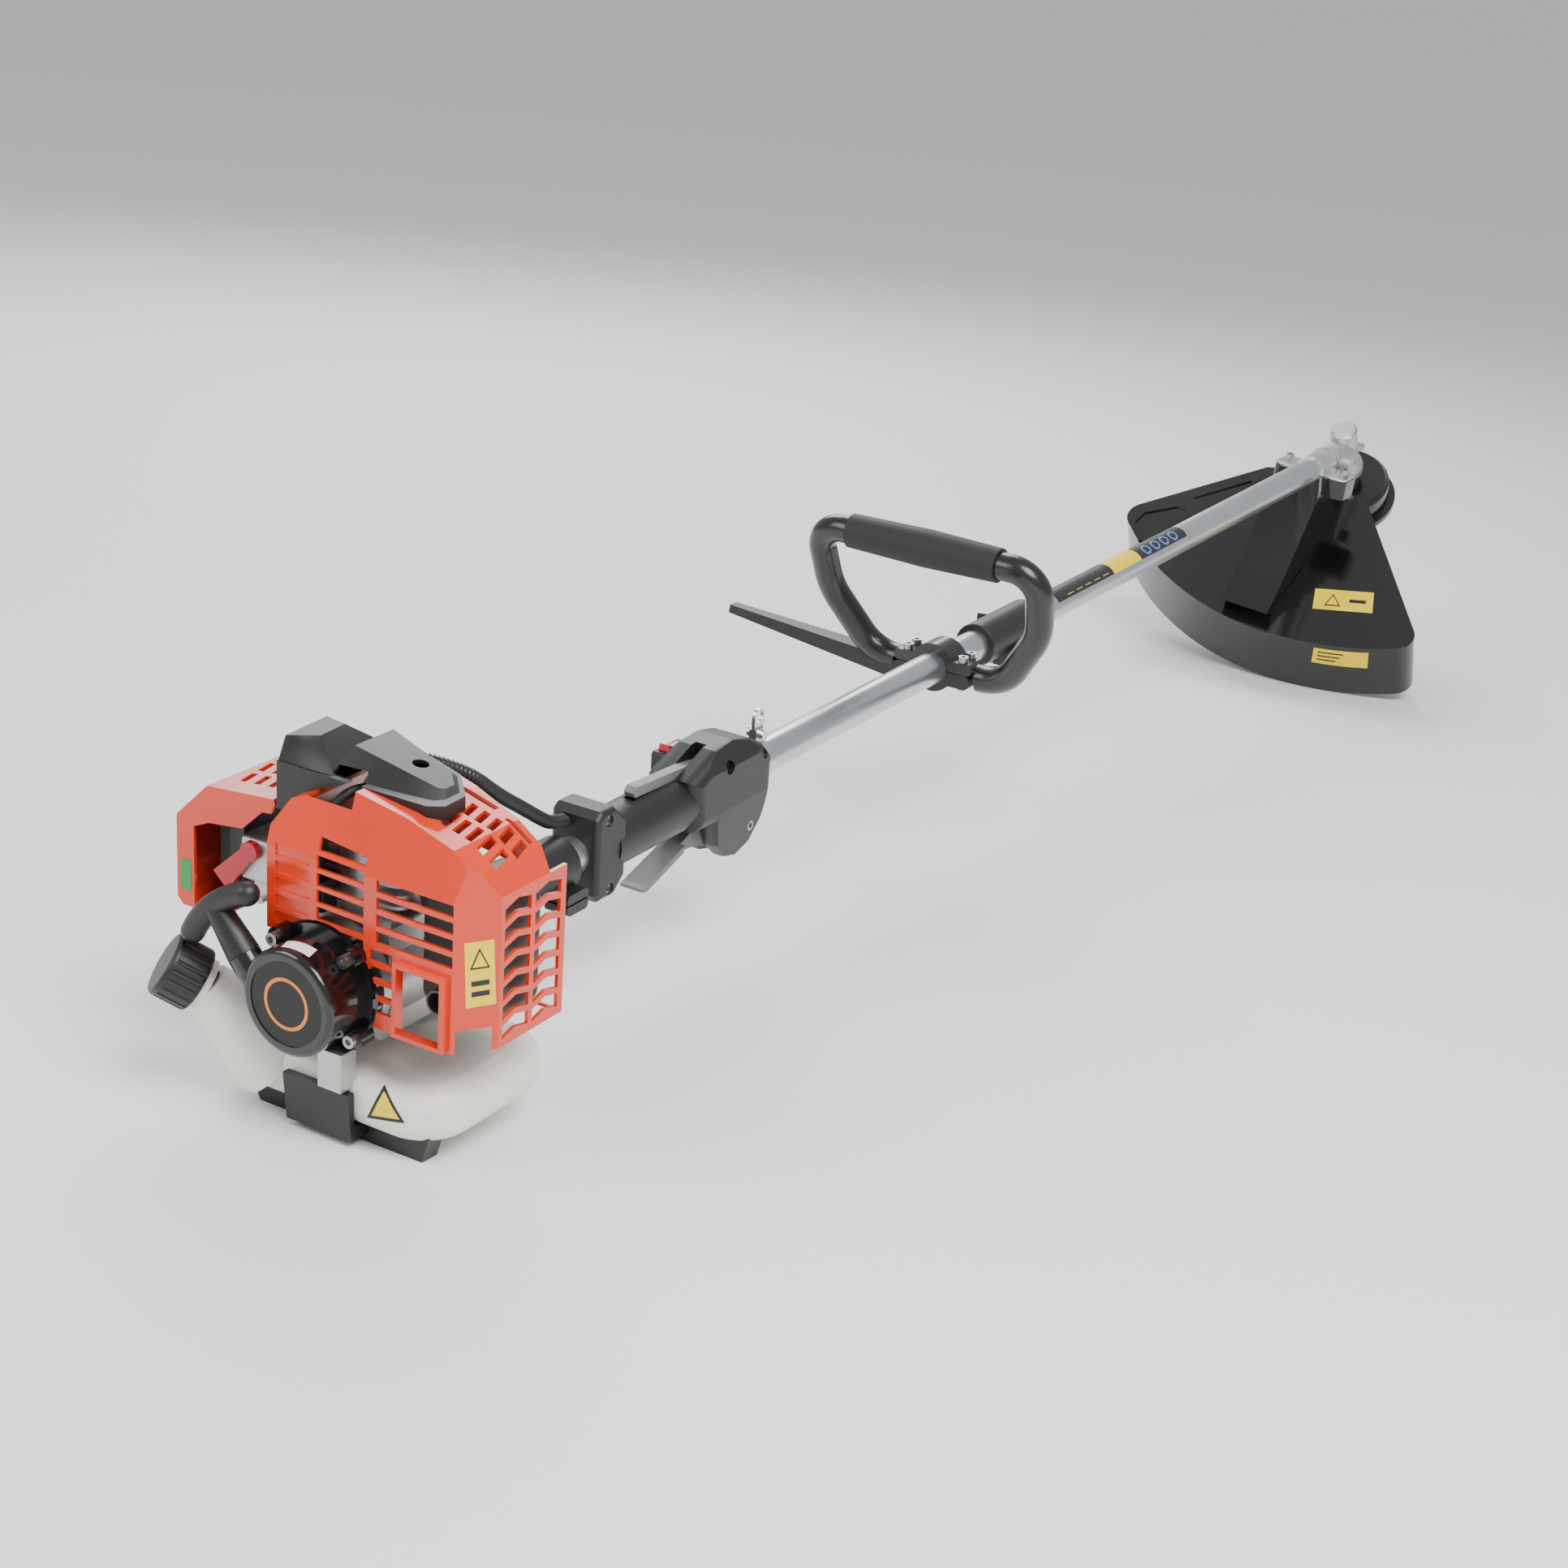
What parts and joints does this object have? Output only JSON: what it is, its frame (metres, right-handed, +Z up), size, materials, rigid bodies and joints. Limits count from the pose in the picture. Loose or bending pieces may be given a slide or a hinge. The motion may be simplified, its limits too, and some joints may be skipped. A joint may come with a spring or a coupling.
{
  "type": "brush cutter",
  "caption": "Straight-shaft petrol brush cutter: pull-start engine with fuel tank, split tube, rear throttle handle, front loop handle, angled gear head, trimmer head and wide guard.",
  "frame": {"origin": "centre of the bounding box at floor level, the machine standing on its tank stand and its guard", "axes": "+X from the engine towards the cutting head, +Y to the air filter side (the user's left), +Z up"},
  "size_m": [1.91, 0.3829, 0.2922],
  "materials": {
    "orange_plastic": "satin moulded",
    "black_plastic": "fine texture",
    "gloss_black": "moulded gloss",
    "tank_plastic": "natural, slightly translucent",
    "cast_aluminium": "die cast",
    "tube_silver": "satin anodised",
    "loop_black": "powder coated",
    "rubber": "matt",
    "grey_plastic": "moulded",
    "red_plastic": "moulded",
    "zinc": "bright zinc plated",
    "steel": "machined",
    "heat_steel": "heat darkened",
    "foam": "open cell foam",
    "cord": "braided"
  },
  "bodies": {
    "machine": {"crankcase": "cast_aluminium", "cylinder": "cast_aluminium", "piston": "cast_aluminium", "connecting_rod": "steel", "ball_bearings": "steel", "muffler": "heat_steel", "spark_plug": "steel", "plug_boot": "rubber", "ignition_coil": "black_plastic", "starter_housing": "gloss_black", "recoil_spring": "steel", "engine_shroud": "orange_plastic", "top_cover": "black_plastic", "intake_insulator": "grey_plastic", "carburettor": "cast_aluminium", "air_filter_base": "black_plastic", "air_filter_element": "foam", "air_filter_cover": "orange_plastic", "fuel_tank": "tank_plastic", "tank_bracket": "cast_aluminium", "tank_stand": "black_plastic", "clutch_housing": "black_plastic", "upper_tube": "tube_silver", "lower_tube": "tube_silver", "shaft_bushings": "rubber", "handle_left": "black_plastic", "handle_right": "black_plastic", "switch_body": "black_plastic", "throttle_conduit": "black_plastic", "harness_hanger": "zinc", "loop_handle": "loop_black", "loop_grip": "rubber", "loop_clamp": "black_plastic", "barrier_arm": "black_plastic", "coupler_sleeve": "black_plastic", "gearbox_housing": "cast_aluminium", "guard": "gloss_black", "guard_bracket": "zinc", "socket_screws": "steel"},
    "rotor": {"crankshaft": "steel", "flywheel": "cast_aluminium", "clutch_shoes": "steel"},
    "starter_grip": {"starter_handle": "black_plastic", "starter_rope": "cord"},
    "starter_reel": {"starter_pulley": "black_plastic"},
    "cutting_head": {"output_shaft": "steel", "bevel_gear": "steel", "trimmer_head": "gloss_black"},
    "bump_feed": {"line_spool": "grey_plastic", "bump_knob": "black_plastic"},
    "drive_train": {"clutch_drum": "steel", "drive_shaft": "steel", "drive_pinion": "steel"},
    "trigger": {"throttle_trigger": "grey_plastic"},
    "cam": {"throttle_cam": "steel"},
    "lock": {"lock_lever": "grey_plastic"},
    "rocker": {"switch_rocker": "red_plastic"},
    "choke": {"choke_lever": "red_plastic"},
    "filler_cap": {"fuel_cap": "black_plastic"},
    "coupler_screw": {"coupler_knob": "black_plastic"}
  },
  "joints": [
    {"name": "crank_spin", "type": "hinge", "parent": "machine", "child": "rotor", "pos_m": [-0.94422, -0.02653, 0.09994], "axis": [0.9971, 0, 0.0758], "continuous": true},
    {"name": "starter_pull", "type": "slide", "parent": "machine", "child": "starter_grip", "axis": [-0.0576, 0.65, 0.7578], "range_m": [0, 0.6], "stiffness_N_per_m": 12, "springref_m": -0.35},
    {"name": "starter_reel_spin", "type": "hinge", "parent": "machine", "child": "starter_reel", "pos_m": [-0.93026, -0.02653, 0.101], "axis": [0.9971, 0, 0.0758], "range_deg": [-1, 1400]},
    {"name": "head_spin", "type": "hinge", "parent": "machine", "child": "cutting_head", "pos_m": [0.86555, -0.02653, 0.23761], "axis": [0.564, 0.0755, -0.8223], "continuous": true},
    {"name": "drive_spin", "type": "hinge", "parent": "machine", "child": "drive_train", "pos_m": [0.0529, -0.02653, 0.17579], "axis": [0.9971, 0, 0.0758], "continuous": true},
    {"name": "bump_feed_push", "type": "slide", "parent": "cutting_head", "child": "bump_feed", "axis": [-0.564, -0.0755, 0.8223], "range_m": [0, 0.004], "stiffness_N_per_m": 1500, "springref_m": -0.01},
    {"name": "trigger_squeeze", "type": "hinge", "parent": "machine", "child": "trigger", "pos_m": [-0.45091, -0.02653, 0.10136], "axis": [0, 1, 0], "range_deg": [0, 8], "stiffness_Nm_per_rad": 0.5, "springref_deg": -17.19},
    {"name": "throttle_cam_turn", "type": "hinge", "parent": "machine", "child": "cam", "pos_m": [-0.86577, 0.04947, 0.17611], "axis": [-0.0758, 0, 0.9971], "range_deg": [-1, 57]},
    {"name": "lock_lever_press", "type": "hinge", "parent": "machine", "child": "lock", "pos_m": [-0.48706, -0.02653, 0.15477], "axis": [0, -1, 0], "range_deg": [0, 4], "stiffness_Nm_per_rad": 0.2, "springref_deg": -11.46},
    {"name": "switch_rock", "type": "hinge", "parent": "machine", "child": "rocker", "pos_m": [-0.4662, 0.00447, 0.15736], "axis": [0, -1, 0], "range_deg": [0, 16]},
    {"name": "choke_turn", "type": "hinge", "parent": "machine", "child": "choke", "pos_m": [-0.87882, 0.06147, 0.16308], "axis": [0.9971, 0, 0.0758], "range_deg": [0, 50]},
    {"name": "fuel_cap_turn", "type": "hinge", "parent": "machine", "child": "filler_cap", "pos_m": [-0.93031, 0.07247, 0.08846], "axis": [-0.5892, 0.6515, 0.4779], "range_deg": [0, 540]},
    {"name": "coupler_knob_turn", "type": "hinge", "parent": "machine", "child": "coupler_screw", "pos_m": [0.02945, 0.00347, 0.15445], "axis": [0, 1, 0], "range_deg": [0, 720]}
  ],
  "couplings": [
    {"joint": "drive_spin", "follows": "head_spin", "ratio": -1.3571},
    {"joint": "starter_reel_spin", "follows": "starter_pull", "rad_per_m": 39.682},
    {"joint": "throttle_cam_turn", "follows": "trigger_squeeze", "ratio": 7}
  ]
}
